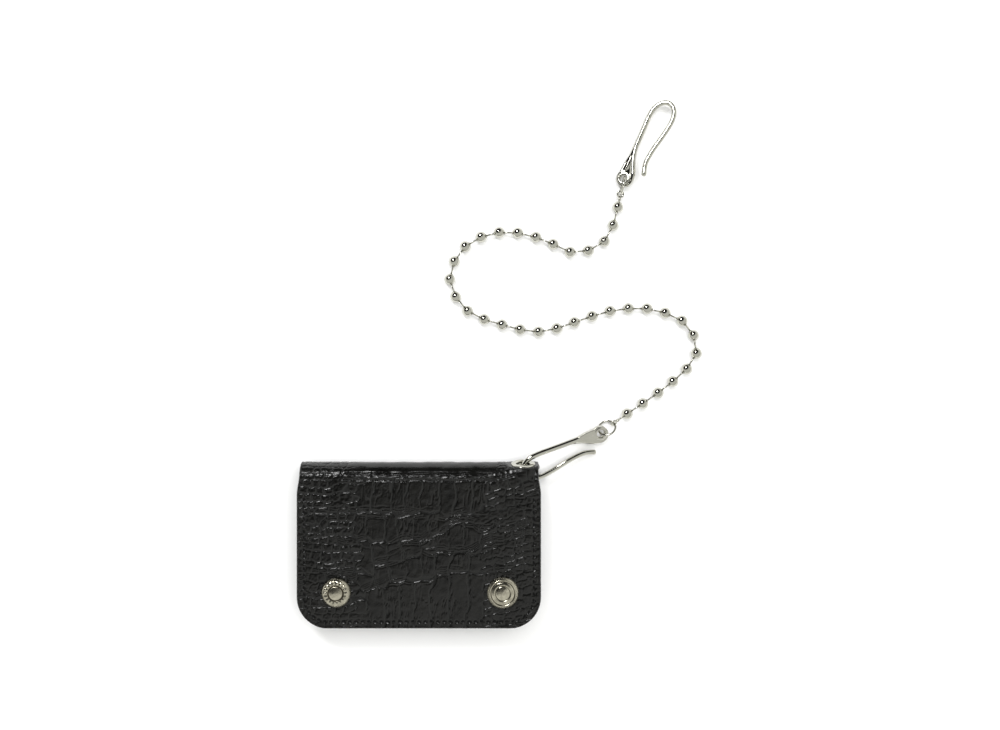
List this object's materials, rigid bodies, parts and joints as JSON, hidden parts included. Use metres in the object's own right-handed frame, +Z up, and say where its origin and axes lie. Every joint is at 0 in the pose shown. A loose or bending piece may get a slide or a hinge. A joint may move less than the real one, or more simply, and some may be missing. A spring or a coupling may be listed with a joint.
{
  "type": "chain wallet",
  "caption": "Small black reptile-embossed leather snap wallet with a grommet in its fold, joined by a nickel ball chain and fish-hook clasps to a belt hook.",
  "frame": {"origin": "centre of the back leaf's outer face, on the surface that the closed wallet lies on", "axes": "+X along the fold towards the grommet, +Y towards the fold, +Z up through the closed wallet to the snap caps"},
  "size_m": [0.1929, 0.2513, 0.0198],
  "materials": {
    "embossed_leather": "satin",
    "pocket_leather": "satin",
    "lining": "matte",
    "zip_textile": "matte",
    "aged_silver": "satin",
    "nickel": "polished"
  },
  "bodies": {
    "back_leaf": {"leather_back": "embossed_leather", "back_lining": "lining", "bill_divider": "pocket_leather", "card_pocket_rear": "pocket_leather", "card_pocket_front": "pocket_leather", "coin_pocket_back": "lining", "coin_front_lower": "pocket_leather", "coin_front_upper": "pocket_leather", "zip_tape_upper": "zip_textile", "zip_tape_lower": "zip_textile", "zip_coil_upper": "zip_textile", "zip_coil_lower": "zip_textile", "zip_stop_left": "nickel", "zip_stop_right": "nickel", "snap_stud_left": "nickel", "snap_stud_right": "nickel", "stud_rivet_left": "nickel", "stud_rivet_right": "nickel", "grommet_eyelet": "nickel", "grommet_washer": "nickel"},
    "flap": {"leather_front": "embossed_leather", "flap_lining": "lining", "slip_pocket_rear": "pocket_leather", "slip_pocket_front": "pocket_leather", "snap_cap_left": "aged_silver", "snap_cap_right": "aged_silver", "snap_socket_left": "nickel", "snap_socket_right": "nickel"},
    "zip_slider": {"zip_slider": "nickel", "zip_pull": "nickel"},
    "wallet_hook": {"wallet_hook": "nickel"},
    "wallet_ring": {"wallet_ring": "nickel"},
    "wallet_connector": {"wallet_connector": "nickel"},
    "chain_01": {"chain_01": "nickel"},
    "chain_02": {"chain_02": "nickel"},
    "chain_03": {"chain_03": "nickel"},
    "chain_04": {"chain_04": "nickel"},
    "chain_05": {"chain_05": "nickel"},
    "chain_06": {"chain_06": "nickel"},
    "chain_07": {"chain_07": "nickel"},
    "chain_08": {"chain_08": "nickel"},
    "chain_09": {"chain_09": "nickel"},
    "chain_10": {"chain_10": "nickel"},
    "chain_11": {"chain_11": "nickel"},
    "chain_12": {"chain_12": "nickel"},
    "belt_connector": {"belt_connector": "nickel"},
    "belt_ring": {"belt_ring": "nickel"},
    "belt_hook": {"belt_hook": "nickel"}
  },
  "joints": [
    {"name": "flap_hinge", "type": "hinge", "parent": "back_leaf", "child": "flap", "pos_m": [0, 0.02685, 0.0176], "axis": [-1, 0, 0], "range_deg": [0, 180]},
    {"name": "zip_slide", "type": "slide", "parent": "back_leaf", "child": "zip_slider", "axis": [-1, 0, 0], "range_m": [0, 0.076]},
    {"name": "hook_swivel", "type": "hinge", "parent": "back_leaf", "child": "wallet_hook", "pos_m": [0.04989, 0.03786, 0.01028], "axis": [0, 0, 1], "range_deg": [-8, 20]},
    {"name": "wallet_ring_swing", "type": "hinge", "parent": "wallet_hook", "child": "wallet_ring", "pos_m": [0.0863, 0.0523, 0.0043], "axis": [0, 0, -1], "range_deg": [-25, 25]},
    {"name": "wallet_connector_swing", "type": "hinge", "parent": "wallet_ring", "child": "wallet_connector", "pos_m": [0.093, 0.057, 0.003], "axis": [0, 0, 1], "range_deg": [-25, 25]},
    {"name": "bead_joint_01", "type": "hinge", "parent": "wallet_connector", "child": "chain_01", "pos_m": [0.09753, 0.06014, 0.00276], "axis": [0, 0, -1], "range_deg": [-30, 30]},
    {"name": "bead_joint_02", "type": "hinge", "parent": "chain_01", "child": "chain_02", "pos_m": [0.1196, 0.07559, 0.00265], "axis": [0, 0, 1], "range_deg": [-30, 30]},
    {"name": "bead_joint_03", "type": "hinge", "parent": "chain_02", "child": "chain_03", "pos_m": [0.13184, 0.09699, 0.00265], "axis": [0, 0, -1], "range_deg": [-30, 30]},
    {"name": "bead_joint_04", "type": "hinge", "parent": "chain_03", "child": "chain_04", "pos_m": [0.11142, 0.11158, 0.00265], "axis": [0, 0, 1], "range_deg": [-30, 30]},
    {"name": "bead_joint_05", "type": "hinge", "parent": "chain_04", "child": "chain_05", "pos_m": [0.0849, 0.10913, 0.00265], "axis": [0, 0, -1], "range_deg": [-30, 30]},
    {"name": "bead_joint_06", "type": "hinge", "parent": "chain_05", "child": "chain_06", "pos_m": [0.05918, 0.10141, 0.00265], "axis": [0, 0, 1], "range_deg": [-30, 30]},
    {"name": "bead_joint_07", "type": "hinge", "parent": "chain_06", "child": "chain_07", "pos_m": [0.03294, 0.10628, 0.00265], "axis": [0, 0, -1], "range_deg": [-30, 20]},
    {"name": "bead_joint_08", "type": "hinge", "parent": "chain_07", "child": "chain_08", "pos_m": [0.01479, 0.12397, 0.00265], "axis": [0, 0, 1], "range_deg": [-16, 30]},
    {"name": "bead_joint_09", "type": "hinge", "parent": "chain_08", "child": "chain_09", "pos_m": [0.02711, 0.14541, 0.00265], "axis": [0, 0, -1], "range_deg": [-30, 30]},
    {"name": "bead_joint_10", "type": "hinge", "parent": "chain_09", "child": "chain_10", "pos_m": [0.0532, 0.1471, 0.00265], "axis": [0, 0, 1], "range_deg": [-30, 30]},
    {"name": "bead_joint_11", "type": "hinge", "parent": "chain_10", "child": "chain_11", "pos_m": [0.07839, 0.1399, 0.00265], "axis": [0, 0, -1], "range_deg": [-30, 30]},
    {"name": "bead_joint_12", "type": "hinge", "parent": "chain_11", "child": "chain_12", "pos_m": [0.0916, 0.1502, 0.00265], "axis": [0, 0, 1], "range_deg": [-30, 30]},
    {"name": "bead_joint_13", "type": "hinge", "parent": "chain_12", "child": "belt_connector", "pos_m": [0.09549, 0.16335, 0.00265], "axis": [0, 0, -1], "range_deg": [-30, 30]},
    {"name": "belt_ring_swing", "type": "hinge", "parent": "belt_connector", "child": "belt_ring", "pos_m": [0.0963, 0.1673, 0.00265], "axis": [0, 0, 1], "range_deg": [-25, 25]},
    {"name": "belt_hook_swing", "type": "hinge", "parent": "belt_ring", "child": "belt_hook", "pos_m": [0.0979, 0.1747, 0.0029], "axis": [0, 0, -1], "range_deg": [-10, 25]}
  ]
}
